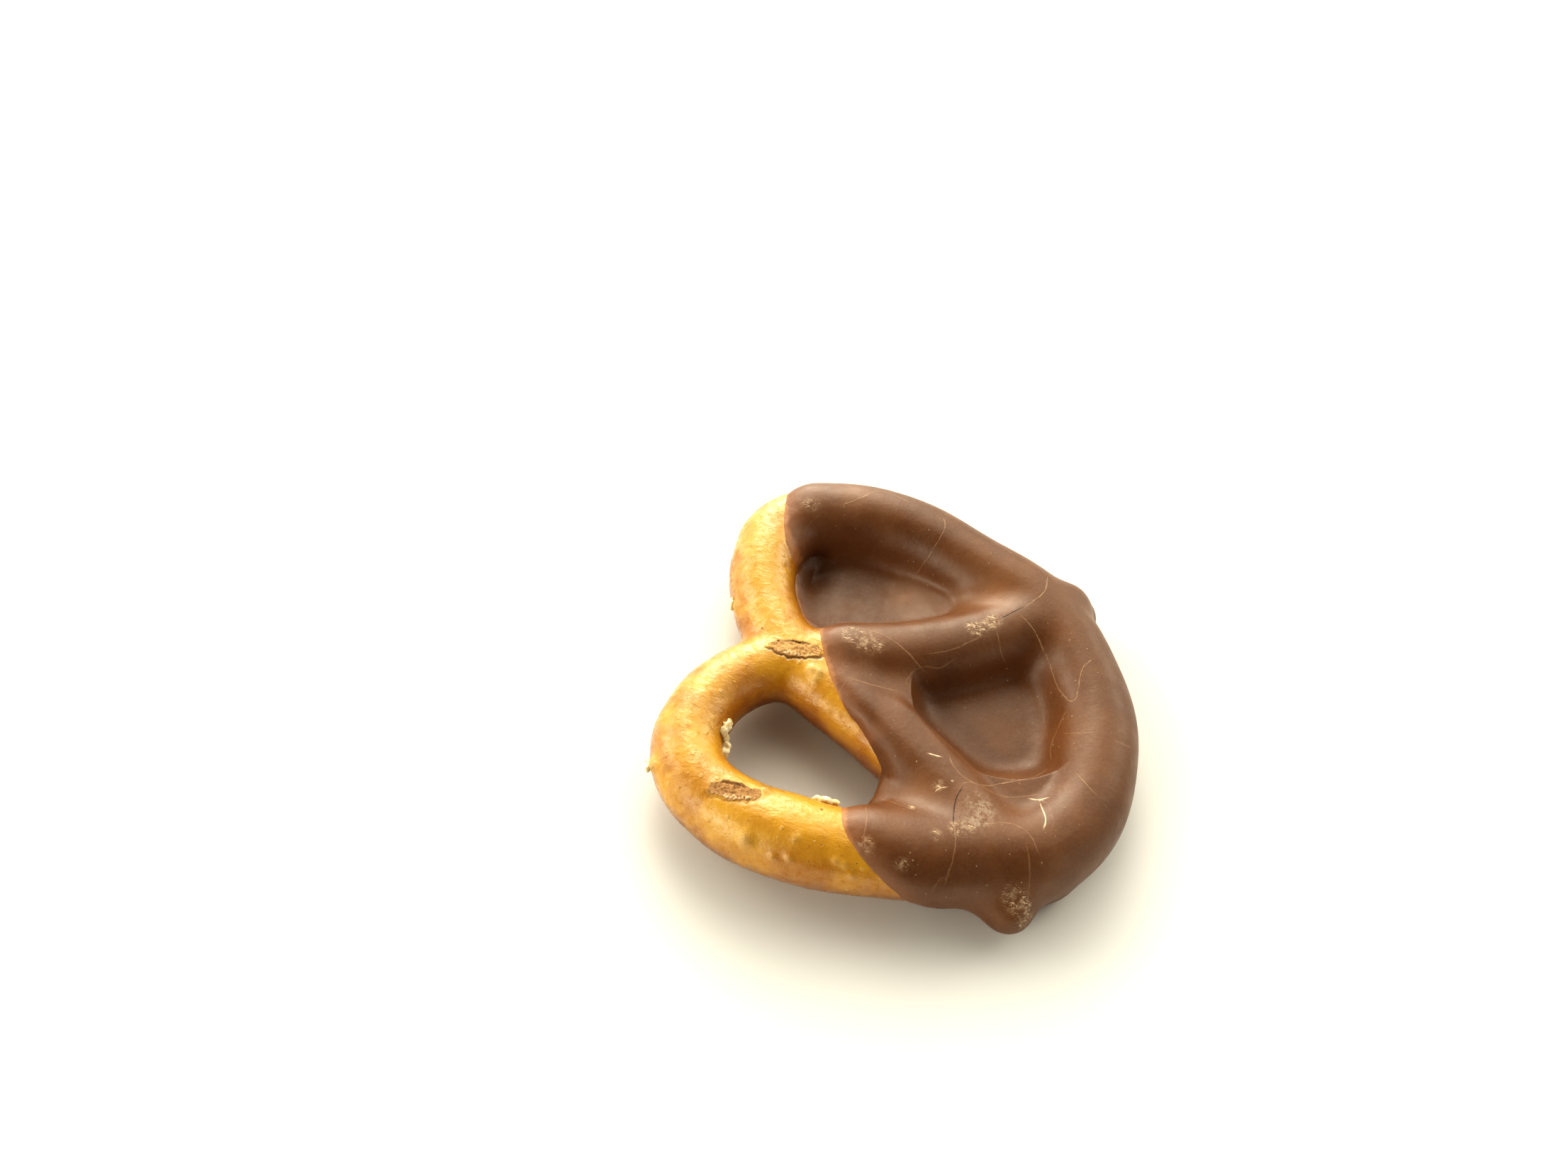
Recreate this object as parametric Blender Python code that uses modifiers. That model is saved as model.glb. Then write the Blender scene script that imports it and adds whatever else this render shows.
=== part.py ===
"""Mini pretzel dipped in milk chocolate, lying flat.

Metres, +Z up, origin under the middle of the bounding box.  The baked dough is one rope
bent into a three-hole twist.  It was dipped at a slant, so the chocolate covers the lower
right of the plan.  It clads the rope there and fills two of the three holes with sunken
floors, and its underside is the flat face that it set on.  The third hole stays open.
"""

import bmesh
import bpy
from mathutils import Matrix, Vector

MM = 0.001

# ---- driving dimensions, in millimetres --------------------------------------------------
ROPE_RADIUS = 3.05      # half the rope's width where a station's thickness is 1
DOUGH_BASE = 0.95       # level that the round rope lies on, above the table
DOUGH_FLAT = 1.20       # height of the baked flat under the dough
DOUGH_FILLET = 0.80     # radius of the dough's inner corners
COAT = 0.70             # chocolate on the rope
COAT_FILLET = 1.60      # radius of the chocolate's inner corners
FIT_GAP = 0.30          # clearance between the dough and the chocolate
HAIR = 0.02             # keeps two flat faces from lying in one plane
SKIRT_RADIUS = 3.60     # half width of the coat's lower, upright part at thickness 1
SKIRT_HEIGHT = 1.60     # height of its axis
RIGHT_FLOOR = 2.50      # height of the chocolate floor in the right hole
MIDDLE_FLOOR = 3.20     # height of the chocolate floor in the middle hole
SALT_CHIP = 0.20        # bevel on a grain of coarse salt
BELOW_ALL = -20.0       # a level under the whole part
ABOVE_ALL = 15.0        # a level over the whole part

# The rope's stations from one end to the other: x, y and thickness.
LEFT_END = [(-15.4, -12.2, 0.50), (-13.0, -9.9, 0.90), (-8.7, -5.0, 0.90), (-5.2, 1.6, 0.88)]
TWIST = (-1.2, 9.9, 0.95)
RIGHT_LOBE = [(3.8, 14.5, 0.96), (8.6, 16.1, 1.02), (12.8, 15.7, 1.00), (15.7, 11.9, 0.98),
              (16.9, 5.3, 0.98), (15.1, -2.2, 0.96), (12.8, -8.6, 0.96), (7.6, -13.4, 0.95)]
BEND = (-0.5, -16.2, 0.97)
LEFT_LOBE = [(-10.2, -14.0, 0.96), (-13.4, -8.3, 0.98), (-15.7, -2.2, 1.05), (-17.1, 5.3, 1.11),
             (-16.2, 11.6, 1.01), (-13.6, 15.1, 0.99), (-9.7, 15.8, 0.96), (-4.9, 14.2, 0.93)]
RIGHT_END = [(2.7, 1.4, 0.93), (7.4, -5.1, 0.90), (12.4, -10.1, 0.90), (15.0, -12.6, 0.55)]
ROPE = LEFT_END + [TWIST] + RIGHT_LOBE + [BEND] + LEFT_LOBE + [TWIST] + RIGHT_END

# Chocolate pooled in the lower left corner of the middle hole: x, y, height and radius.
POOL = (-8.2, -10.8, 2.4, 2.9)

# Outlines of the two webs, which run under the rope along its axis.
RIGHT_WEB = [TWIST] + RIGHT_LOBE[:7] + RIGHT_END[2::-1]
MIDDLE_WEB = [TWIST] + RIGHT_END[:3] + RIGHT_LOBE[7:] + [BEND] + LEFT_LOBE[:1] + LEFT_END[1:]

# The chocolate's edge in plan, at the height DIP_HEIGHT.  Lower down it draws back from the
# bare side by DIP_SLANT for each millimetre of depth.
DIP_LINE = [(26.0, 23.0), (15.0, 17.0), (7.4, 13.4), (0.4, 8.8), (-5.2, 4.2), (-9.1, 0.9),
            (-10.9, -0.3), (-13.0, 1.2), (-17.6, -1.0), (-26.0, -8.5)]
DIP_HEIGHT = 6.5
DIP_SLANT = 0.60
BARE_WAY = Vector((-0.47, 0.88))    # the direction of the bare side
FAR_CORNERS = [(-60.0, -20.0), (-60.0, 60.0), (60.0, 60.0), (60.0, 40.0)]
TABLE_CORNERS = [(-40.0, -40.0), (-40.0, 40.0), (40.0, 40.0), (40.0, -40.0)]

# Salt grains on the bare dough: x, y, height of the middle, and size.
SALT = [(-10.2, 13.5, 5.0, 1.3), (-11.3, 12.7, 4.5, 1.2), (-13.7, 3.5, 5.4, 1.6),
        (2.4, 17.0, 4.4, 0.9), (-15.2, 17.4, 4.5, 0.9)]

# Moves the finished part so that its bounding box is centred on the origin.
TO_ORIGIN = Vector((-0.05, 0.27, 0.0))

# ---- mesh resolution, in millimetres and counts ------------------------------------------
VOXEL = 0.40
SHRINK_STEP = 0.50
SMOOTH_STEPS = 5
DOUGH_TRIANGLES = 3800
COAT_TRIANGLES = 5200


def clear_scene():
    for thing in list(bpy.data.objects):
        bpy.data.objects.remove(thing, do_unlink=True)


def new_collection(name):
    group = bpy.data.collections.new(name)
    bpy.context.scene.collection.children.link(group)
    return group


def material(name, colour, roughness):
    made = bpy.data.materials.new(name)
    made.use_nodes = True
    shader = made.node_tree.nodes["Principled BSDF"]
    shader.inputs["Base Color"].default_value = (*colour, 1.0)
    shader.inputs["Roughness"].default_value = roughness
    shader.inputs["Metallic"].default_value = 0.0
    made.diffuse_color = (*colour, 1.0)
    return made


def evaluated_mesh(thing):
    """The object's mesh with its modifiers or bevel applied."""
    graph = bpy.context.evaluated_depsgraph_get()
    graph.update()
    return bpy.data.meshes.new_from_object(thing.evaluated_get(graph))


def mesh_object(name, mesh, group):
    thing = bpy.data.objects.new(name, mesh)
    group.objects.link(thing)
    return thing


def curve_to_mesh(curve_object, group):
    """A closed mesh object in place of a curve, with its caps welded on."""
    mesh = evaluated_mesh(curve_object)
    mesh.transform(curve_object.matrix_world)
    edit = bmesh.new()
    edit.from_mesh(mesh)
    bmesh.ops.remove_doubles(edit, verts=edit.verts, dist=0.01 * MM)
    bmesh.ops.recalc_face_normals(edit, faces=edit.faces)
    edit.to_mesh(mesh)
    edit.free()
    thing = mesh_object(curve_object.name + "_mesh", mesh, group)
    bpy.data.objects.remove(curve_object, do_unlink=True)
    return thing


def smooth_spline(data, places, radii, closed=False, corners=()):
    """A smooth line through the places, straight on both sides of each corner."""
    spline = data.splines.new("BEZIER")
    spline.bezier_points.add(len(places) - 1)
    for point, place, radius in zip(spline.bezier_points, places, radii):
        point.co = Vector(place) * MM
        point.radius = radius
        handle = "VECTOR" if place[:2] in corners else "AUTO"
        point.handle_left_type = point.handle_right_type = handle
    spline.use_cyclic_u = closed
    return spline


def ball(name, place, radius, group):
    edit = bmesh.new()
    bmesh.ops.create_uvsphere(edit, u_segments=20, v_segments=12, radius=radius * MM,
                              matrix=Matrix.Translation(Vector(place) * MM))
    mesh = bpy.data.meshes.new(name)
    edit.to_mesh(mesh)
    edit.free()
    return mesh_object(name, mesh, group)


def tube(name, places, radii, group):
    """A tube along a smooth line through the places, with a ball at each end."""
    data = bpy.data.curves.new(name, "CURVE")
    data.dimensions = "3D"
    data.bevel_depth = MM
    data.bevel_resolution = 10
    data.resolution_u = 8
    data.use_fill_caps = True
    smooth_spline(data, places, radii)
    thing = bpy.data.objects.new(name, data)
    group.objects.link(thing)
    return [curve_to_mesh(thing, group),
            ball(name + "_start", places[0], radii[0], group),
            ball(name + "_end", places[-1], radii[-1], group)]


def rope_tube(name, extra, group):
    """The rope with its underside on DOUGH_BASE, thicker all round by extra."""
    radii = [ROPE_RADIUS * thickness for _, _, thickness in ROPE]
    places = [(x, y, DOUGH_BASE + radius) for (x, y, _), radius in zip(ROPE, radii)]
    return tube(name, places, [radius + extra for radius in radii], group)


def skirt_tube(name, extra, group):
    """The upright foot round the coat's outer side, which the table cuts flat."""
    stations = RIGHT_LOBE[1:] + [BEND] + LEFT_LOBE[:1]
    places = [(x, y, SKIRT_HEIGHT) for x, y, _ in stations]
    radii = [SKIRT_RADIUS * thickness + extra for _, _, thickness in stations]
    return tube(name, places, radii, group)


def slab(name, outline, bottom, top, group):
    """A flat slab between two heights, inside a smooth closed outline."""
    data = bpy.data.curves.new(name, "CURVE")
    data.dimensions = "2D"
    data.fill_mode = "BOTH"
    data.resolution_u = 6
    data.extrude = (top - bottom) / 2 * MM
    smooth_spline(data, [(x, y, 0.0) for x, y, *_ in outline], [1.0] * len(outline),
                  closed=True, corners=TABLE_CORNERS + FAR_CORNERS)
    thing = bpy.data.objects.new(name, data)
    thing.location.z = (top + bottom) / 2 * MM
    group.objects.link(thing)
    bpy.context.view_layer.update()
    return curve_to_mesh(thing, group)


def join(name, things, group):
    """One object that holds the meshes of several, which are removed."""
    edit = bmesh.new()
    for thing in things:
        edit.from_mesh(thing.data)
        bpy.data.objects.remove(thing, do_unlink=True)
    mesh = bpy.data.meshes.new(name)
    edit.to_mesh(mesh)
    edit.free()
    return mesh_object(name, mesh, group)


def apply_modifiers(thing):
    mesh = evaluated_mesh(thing)
    thing.modifiers.clear()
    thing.data = mesh
    return thing


def fuse(thing, fillet):
    """Melts overlapping shapes, each made larger by fillet, into one smooth skin of the true
    size.  Its inner corners come out rounded to about that radius."""
    steps = max(1, round(fillet / SHRINK_STEP))
    for step in range(steps + 1):
        remesh = thing.modifiers.new("Fuse", "REMESH")
        remesh.mode = "VOXEL"
        remesh.voxel_size = VOXEL * MM
        soften = thing.modifiers.new("Soften", "SMOOTH")
        soften.factor = 0.5
        soften.iterations = SMOOTH_STEPS
        if step < steps:
            shrink = thing.modifiers.new("Shrink", "DISPLACE")
            shrink.mid_level = 0.0
            shrink.strength = -fillet / steps * MM
    return apply_modifiers(thing)


def thin_out(thing, triangles):
    """Decimates a skin to about so many triangles."""
    count = sum(len(face.vertices) - 2 for face in thing.data.polygons)
    decimate = thing.modifiers.new("Thin out", "DECIMATE")
    decimate.ratio = min(1.0, triangles / count)
    decimate.use_collapse_triangulate = True
    return apply_modifiers(thing)


def as_cutter(thing):
    thing.hide_render = True
    thing.display_type = "WIRE"
    return thing


def boolean(thing, other, operation, solver="EXACT"):
    modifier = thing.modifiers.new(operation.title(), "BOOLEAN")
    modifier.operation = operation
    modifier.object = other
    modifier.solver = solver
    return apply_modifiers(thing)


def remove(*things):
    for thing in things:
        bpy.data.objects.remove(thing, do_unlink=True)


def table_cut(thing, height, group):
    """Cuts the underside flat at a height."""
    below = as_cutter(slab("below", TABLE_CORNERS, BELOW_ALL, height, group))
    boolean(thing, below, "DIFFERENCE")
    remove(below)
    return thing


def bare_side(group):
    """The space on the bare side of the chocolate's edge, less what the right web fills."""
    space = as_cutter(slab("bare_side", DIP_LINE + FAR_CORNERS, -ABOVE_ALL, ABOVE_ALL, group))
    lean = Matrix.Translation((0, 0, DIP_HEIGHT * MM))
    lean[0][2], lean[1][2] = BARE_WAY * DIP_SLANT
    space.data.transform(lean @ Matrix.Translation((0, 0, -DIP_HEIGHT * MM)))
    kept = as_cutter(slab("web_zone", RIGHT_WEB, BELOW_ALL, RIGHT_FLOOR + HAIR, group))
    boolean(space, kept, "DIFFERENCE")
    remove(kept)
    return space


def salt_grain(index, x, y, height, size, group):
    """A chipped cube of salt, half sunk into the dough."""
    edit = bmesh.new()
    bmesh.ops.create_cube(edit, size=size * MM)
    bmesh.ops.bevel(edit, geom=edit.edges, offset=SALT_CHIP * MM, segments=1, affect="EDGES")
    turn = Vector((1.0, 0.6 * index - 0.8, 0.7)).to_track_quat("Z", "Y").to_matrix().to_4x4()
    bmesh.ops.transform(edit, verts=edit.verts,
                        matrix=Matrix.Translation((x * MM, y * MM, height * MM)) @ turn)
    mesh = bpy.data.meshes.new(f"salt_{index}")
    edit.to_mesh(mesh)
    edit.free()
    return mesh_object(f"salt_{index}", mesh, group)


def dough_skin(name, group):
    """The baked rope, round all along, fused where its stretches cross."""
    shapes = rope_tube(name + "_rope", DOUGH_FILLET, group)
    return thin_out(fuse(join(name, shapes, group), DOUGH_FILLET), DOUGH_TRIANGLES)


def swollen(thing, distance):
    """The same skin moved outwards along its normals."""
    displace = thing.modifiers.new("Swell", "DISPLACE")
    displace.mid_level = 0.0
    displace.strength = distance * MM
    return apply_modifiers(thing)


def finish_part(thing, tools, parts, finish):
    tools.objects.unlink(thing)
    parts.objects.link(thing)
    thing.data.transform(Matrix.Translation(TO_ORIGIN * MM))
    thing.data.materials.clear()
    thing.data.materials.append(finish)
    thing.data.shade_smooth()
    return thing


def make_pretzel(parts, tools):
    pretzel = dough_skin("pretzel", tools)
    table_cut(pretzel, DOUGH_FLAT, tools)
    for index, (x, y, height, size) in enumerate(SALT):
        grain = as_cutter(salt_grain(index, x, y, height, size, tools))
        boolean(pretzel, grain, "UNION")
        remove(grain)
    finish = material("baked dough", (0.55, 0.25, 0.05), 0.35)
    return finish_part(pretzel, tools, parts, finish)


def make_coating(parts, tools):
    shapes = rope_tube("clad_rope", COAT + COAT_FILLET, tools)
    shapes += skirt_tube("skirt", COAT_FILLET, tools)
    for name, outline, floor in (("right_web", RIGHT_WEB, RIGHT_FLOOR),
                                 ("middle_web", MIDDLE_WEB, MIDDLE_FLOOR)):
        shapes.append(slab(name, outline, -2 * COAT_FILLET, floor + COAT_FILLET, tools))
    shapes.append(ball("pool", POOL[:3], POOL[3] + COAT_FILLET, tools))
    coating = fuse(join("chocolate_coating", shapes, tools), COAT_FILLET)
    thin_out(coating, COAT_TRIANGLES)
    table_cut(coating, 0.0, tools)
    bare = bare_side(tools)
    boolean(coating, bare, "DIFFERENCE", solver="MANIFOLD")
    cavity = swollen(dough_skin("cavity", tools), FIT_GAP)
    boolean(coating, cavity, "DIFFERENCE")
    remove(bare, cavity)
    finish = material("milk chocolate", (0.16, 0.075, 0.04), 0.42)
    return finish_part(coating, tools, parts, finish)


def main():
    clear_scene()
    parts = new_collection("chocolate_covered_pretzel")
    tools = new_collection("cutters")
    make_pretzel(parts, tools)
    make_coating(parts, tools)


main()
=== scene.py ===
"""Looks of a mini pretzel half dipped in milk chocolate, on a plain pale floor.

The baked dough and the chocolate are built again on a fine grid from the rope's stations,
so that both keep the form of the solids they replace.  Relief and cracks are worked into
the meshes, colour and gloss into node materials that read vertex attributes.
Lengths are millimetres in the tables and functions, and metres in Blender.
"""

import math
from contextlib import contextmanager

import bmesh
import bpy
import numpy as np
from mathutils import Matrix, Vector, noise
from mathutils.bvhtree import BVHTree
from mathutils.kdtree import KDTree


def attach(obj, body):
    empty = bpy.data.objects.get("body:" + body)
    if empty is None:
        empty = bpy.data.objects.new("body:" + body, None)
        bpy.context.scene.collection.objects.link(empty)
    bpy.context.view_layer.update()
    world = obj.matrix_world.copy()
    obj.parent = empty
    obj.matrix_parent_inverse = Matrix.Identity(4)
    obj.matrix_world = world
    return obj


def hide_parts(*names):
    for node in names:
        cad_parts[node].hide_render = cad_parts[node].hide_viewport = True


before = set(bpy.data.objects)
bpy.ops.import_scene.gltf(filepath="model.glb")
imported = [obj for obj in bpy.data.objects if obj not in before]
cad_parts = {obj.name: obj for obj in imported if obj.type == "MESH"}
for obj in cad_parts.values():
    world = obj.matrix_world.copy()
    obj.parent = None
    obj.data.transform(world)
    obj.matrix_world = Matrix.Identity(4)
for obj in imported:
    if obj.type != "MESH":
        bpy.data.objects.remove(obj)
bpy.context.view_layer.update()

MM = 0.001

# ---- the part's driving dimensions, in millimetres ----
ROPE_RADIUS = 3.05      # half the rope's width where a station's thickness is 1
DOUGH_BASE = 0.95       # level that the round rope lies on, above the table
DOUGH_FLAT = 1.20       # height of the baked flat under the dough
FLAT_ROUND = 0.50       # rounding of its edge
DOUGH_FILLET = 0.80     # radius of the dough's inner corners
COAT = 0.70             # chocolate on the rope
COAT_FILLET = 1.60      # radius of the chocolate's inner corners
SKIRT_RADIUS = 3.60     # half width of the coat's upright foot at thickness 1
SKIRT_HEIGHT = 1.60     # height of its axis
FOOT_ROUND = 0.15       # rounding of the coat's edge on the table
RIGHT_FLOOR = 2.50      # height of the chocolate floor in the right hole
MIDDLE_FLOOR = 3.20     # height of the chocolate floor in the middle hole
TO_ORIGIN = Vector((-0.05, 0.27, 0.0))      # from these places to the solids' own

# The rope's stations from one end to the other: x, y and thickness.
LEFT_END = [(-15.4, -12.2, 0.50), (-13.0, -9.9, 0.90), (-8.7, -5.0, 0.90), (-5.2, 1.6, 0.88)]
TWIST = (-1.2, 9.9, 0.95)
RIGHT_LOBE = [(3.8, 14.5, 0.96), (8.6, 16.1, 1.02), (12.8, 15.7, 1.00), (15.7, 11.9, 0.98),
              (16.9, 5.3, 0.98), (15.1, -2.2, 0.96), (12.8, -8.6, 0.96), (7.6, -13.4, 0.95)]
BEND = (-0.5, -16.2, 0.97)
LEFT_LOBE = [(-10.2, -14.0, 0.96), (-13.4, -8.3, 0.98), (-15.7, -2.2, 1.05), (-17.1, 5.3, 1.11),
             (-16.2, 11.6, 1.01), (-13.6, 15.1, 0.99), (-9.7, 15.8, 0.96), (-4.9, 14.2, 0.93)]
RIGHT_END = [(2.7, 1.4, 0.93), (7.4, -5.1, 0.90), (12.4, -10.1, 0.90), (14.7, -12.3, 0.50)]
ROPE = LEFT_END + [TWIST] + RIGHT_LOBE + [BEND] + LEFT_LOBE + [TWIST] + RIGHT_END
RIGHT_WEB = [TWIST] + RIGHT_LOBE[:7] + RIGHT_END[2::-1]
SKIRT = RIGHT_LOBE[1:] + [BEND] + LEFT_LOBE[:1]     # the coat's upright foot follows these
MIDDLE_WEB = [TWIST] + RIGHT_END[:3] + RIGHT_LOBE[7:] + [BEND] + LEFT_LOBE[:1] + LEFT_END[1:]
POOL = (-8.2, -10.8, 2.4, 2.9)      # chocolate pooled in a corner: x, y, height and radius

# The chocolate's edge in plan, at the height DIP_HEIGHT, and how it leans.
DIP_LINE = [(26.0, 23.0), (15.0, 17.0), (7.4, 13.5), (1.4, 9.4), (-4.4, 6.1), (-6.3, 4.8),
            (-7.9, 3.2), (-9.7, 2.2), (-11.4, 2.1), (-13.2, 2.8), (-14.8, 2.0), (-17.4, 0.4),
            (-19.2, -1.4), (-26.0, -8.5)]
DIP_HEIGHT = 6.5
DIP_SLANT = 0.60
BARE_WAY = Vector((-0.47, 0.88))    # the direction of the bare side
EDGE_TAPER = 3.4        # the coat thins out over this distance from its edge
EDGE_CURVE = 1.9        # how fast it does so near the edge
EDGE_SUNK = 0.35        # how deep the coat's bare end lies inside the dough
EDGE_WAVES = ((2.6, 0.16, 3), (0.8, 0.07, 3))   # its wander: wavelengths, amounts and seeds
WALL_AT = 0.15          # where the coat ends as a wall, between two strands
WALL_ROUND = 1.1        # and how round the wall's upper edge is
WALL_GAP = (0.85, 1.5)  # the coat is a wall where it lies this far off the dough
WALL_CORNER = (-9.9, 0.9, 1.8, 3.0)     # ... and only in this corner: x, y and two radii
WALL_SMOOTHING = 12
LEAN_STEP = 0.05        # the way that the edge faces is measured over this distance
CAVITY_SUNK = 0.20      # how far the coat's inner face lies inside the dough
WEB_FADE = (0.3, 1.6)   # above the right floor, the coat leaves the bare rope between these
WEB_RIM = (0.4, 1.9)    # ... and below it, it ends this far in from the rope's middle line
THICK_GAP = (0.75, 1.1)     # a coat that lies this far off the dough is thick to its end
FAR_INSIDE = 5          # ... and is coloured like chocolate this far inside the edge

# The well in the middle hole is a round bowl: centre, radius and how it rises outside.
BOWL = (0.8, -7.4)
BOWL_RADIUS = 4.4
BOWL_RISE = 0.26
BOWL_TOP = 6.0
BOWL_BLEND = 0.7
FILL_RIM = (0.0, 1.8)   # the fill of a hole fades out at this distance from the rope's middle
FLOOR_SKIN = 0.6        # only what lies above a floor's level, or this far below, is filled

# Chocolate that gathered along the well's near rim: x, y, height and radius.
RIM = [(-2.9, 2.6, 5.0, 1.2), (-3.9, 0.7, 5.4, 1.5), (-5.9, -2.6, 5.4, 1.5),
       (-7.9, -5.5, 5.3, 1.5), (-9.2, -8.2, 4.9, 1.3)]
# ... and round the rope's two ends.
DRIPS = [(-14.2, -9.6, 1.9, 2.1), (-14.9, -12.3, 1.8, 2.0), (-12.5, -13.2, 1.5, 2.3),
         (13.8, -10.9, 3.9, 2.85)]

# The right hole's floor rises towards the camera and towards its right end, and is deepest
# at its left end: the lowest and highest level, where each rise starts and its slope, and the
# pocket's x, y, radius and depth.
RIGHT_LEVELS = (2.40, 4.00)
RIGHT_RISE = (15.0, 0.08)       # along the looking way
SIDE_RISE = (4.5, 0.30)         # along y
FLOOR_BLEND = 1.2
POCKET = (9.7, 13.4, 2.5, 1.5)
POCKET_FADE = (0.6, 2.0)        # above the floor, its pull ends between these

# ---- marks, in pixels of the photo's frame ----
FRAME_SIZE = (2212, 1659)
PATH_BREAK = 2.0        # a line stops where the surface below it jumps this far
LINE_REACH = 0.60       # how far from a line its distance is known
LINE_FADE = 0.8         # a line fades out over this length at its ends
SHORT_FADE = 0.25       # ... or over this share of a short line
# Lines on the chocolate: strength, and the pixels that each runs through.
LINES = {"hair": [
    (0.9, [(1209, 884), (1247, 896), (1267, 909), (1285, 925), (1299, 942), (1310, 951)]),
    (0.8, [(1402, 878), (1409, 904), (1414, 925), (1421, 940)]),
    (0.9, [(1438, 866), (1457, 887), (1469, 910), (1481, 937), (1487, 957), (1498, 978),
           (1513, 989), (1522, 966), (1528, 942), (1545, 928)]),
    (0.9, [(1191, 954), (1209, 960), (1235, 967), (1258, 973), (1276, 978)]),
    (0.7, [(1296, 1007), (1267, 1024), (1247, 1041), (1232, 1057)]),
    (0.9, [(1337, 1062), (1349, 1086), (1367, 1101), (1390, 1108), (1414, 1105), (1460, 1095),
           (1481, 1083)]),
    (0.6, [(1375, 1164), (1399, 1162), (1422, 1161), (1440, 1167), (1455, 1181), (1462, 1197),
           (1468, 1209)]),
    (0.9, [(1516, 1089), (1531, 1104), (1548, 1124)]),
    (0.5, [(1208, 1125), (1220, 1136), (1217, 1190)]),
    (0.8, [(1184, 714), (1200, 708), (1220, 700), (1236, 693), (1250, 694), (1274, 704),
           (1288, 710)]),
    (0.8, [(1284, 822), (1296, 805), (1309, 787), (1320, 768), (1331, 750), (1333, 737),
           (1330, 728)]),
    (1.0, [(1478, 812), (1474, 834), (1456, 849), (1444, 857)]),
    (1.0, [(1400, 866), (1404, 878), (1412, 888)]),
], "vein": [
    (0.5, [(1150, 879), (1189, 878), (1267, 877), (1314, 877), (1355, 882), (1396, 880)]),
    (0.9, [(1305, 923), (1337, 918), (1361, 909), (1387, 896)]),
    (0.6, [(1195, 957), (1184, 978)]),
    (0.7, [(1277, 969), (1279, 960), (1298, 942), (1326, 942), (1349, 928)]),
    (0.7, [(1352, 1112), (1364, 1104), (1378, 1106), (1399, 1117), (1422, 1124), (1472, 1120)]),
    (0.5, [(1496, 1035), (1550, 1033)]),
    (0.9, [(1505, 1000), (1492, 1028), (1482, 1055), (1483, 1075)]),
    (0.5, [(1238, 1125), (1285, 1140)]),
    (0.6, [(1567, 1042), (1599, 1057)]),
    (0.4, [(1162, 721), (1150, 731), (1140, 742), (1134, 758), (1135, 778), (1130, 800)]),
    (0.9, [(1345, 1155), (1348, 1190), (1341, 1222), (1330, 1254)]),
    (0.5, [(1338, 1236), (1326, 1240), (1314, 1260)]),
    (0.8, [(1446, 1186), (1452, 1215), (1452, 1250), (1446, 1290)]),
], "crack": [
    (0.9, [(1448, 854), (1431, 863), (1410, 874)]),
    (0.8, [(1361, 1108), (1352, 1120), (1346, 1142), (1345, 1166)]),
], "scratch": [
    (1.0, [(1466, 1131), (1472, 1145), (1475, 1159), (1471, 1172)]),
    (1.0, [(1308, 1062), (1318, 1065), (1329, 1068)]),
    (0.8, [(1318, 1118), (1325, 1112), (1337, 1110)]),
    (0.8, [(1448, 1126), (1466, 1128), (1482, 1124)]),
]}
# Scuffs, bloom, and wide soft lighter areas that are painted sheen: across, down, radius in
# millimetres and strength.
SPOTS = {"scuff": [
    (1200, 893, 0.8, 0.8), (1216, 900, 0.9, 0.9), (1232, 910, 0.8, 0.7), (1375, 886, 0.7, 0.9),
    (1392, 880, 0.6, 1.0), (1405, 874, 0.6, 0.9), (1350, 1168, 0.6, 0.9), (1364, 1166, 0.6, 0.9),
    (1221, 1191, 0.6, 0.7), (1273, 1221, 0.6, 0.6), (1321, 1178, 0.5, 0.7),
    (1430, 1262, 0.9, 0.7), (1440, 1280, 0.9, 0.7), (1448, 1300, 0.8, 0.7),
    (1324, 1108, 0.4, 0.9), (1285, 1139, 0.3, 0.9), (1144, 711, 0.8, 0.6),
], "bloom": [
    (1380, 1130, 0.9, 0.9), (1388, 1145, 1.0, 0.9), (1378, 1160, 0.8, 0.8),
], "painted_sheen": [
    (1275, 838, 2.4, 0.75), (1340, 845, 2.2, 0.45), (1400, 830, 2.6, 0.75),
    (1205, 703, 2.2, 0.60), (1300, 1112, 1.7, 0.60), (1490, 1225, 1.6, 0.30),
]}

# Torn patches of the dough: both ends, half width in millimetres, depth, and how far its
# lower edge overhangs.
SCARS = [((1086, 909), (1161, 919), 0.85, 0.22, 1.0),
         ((997, 1109), (1075, 1121), 0.85, 0.25, 0.3)]
# A place in a scar is measured inwards, from 0 at its rim to 1 in its middle and below 0
# outside, and across, from -1 at its lower edge to 1.  A zone runs from where it starts to
# where it is full.
SCAR_SKIN = (-0.04, 0.10)       # inwards: the torn colour
SCAR_CUT = (0.0, 0.25)          # inwards: the hollow
SCAR_UPPER = (0.50, 0.80)       # across: its steep upper edge
SCAR_LOWER = (-0.25, -0.65)     # across: crumbs along its lower edge
# The groove below an overhanging lower edge is also painted dark, as painted shadow.
SHADE_START = (-0.34, -0.14)    # inwards: the groove below an overhanging edge
SHADE_END = (-0.06, 0.04)
SHADE_SIDE = (-0.15, -0.5)      # across
SCAR_RAGGED = ((0.7, 0.22, 5), (0.28, 0.12, 8))     # its rim: sizes, amounts and seeds
SCAR_CRUST = ((0.30, 0.09, 6), (0.14, 0.07, 7))     # its bottom
CRUMB_NOISE = (0.22, 9)         # size and seed
CRUMB_LEVELS = (-0.25, 0.35)    # a crumb is where the noise passes this level
SCAR_SUNK, UPPER_SUNK = 0.15, 0.45      # the hollow's and its upper edge's share of the depth
CRUMB_HEIGHT, SHADE_DEPTH = 0.12, 0.09
SCAR_BACK = (1.5, 2.5)          # a scar ends this far below or above its plane
SCAR_FINE = 1.5                 # the mesh is finer this near to its middle line
SCAR_CUTS = 2
FAR_OFF = 9.0                   # a share that is well outside
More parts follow.
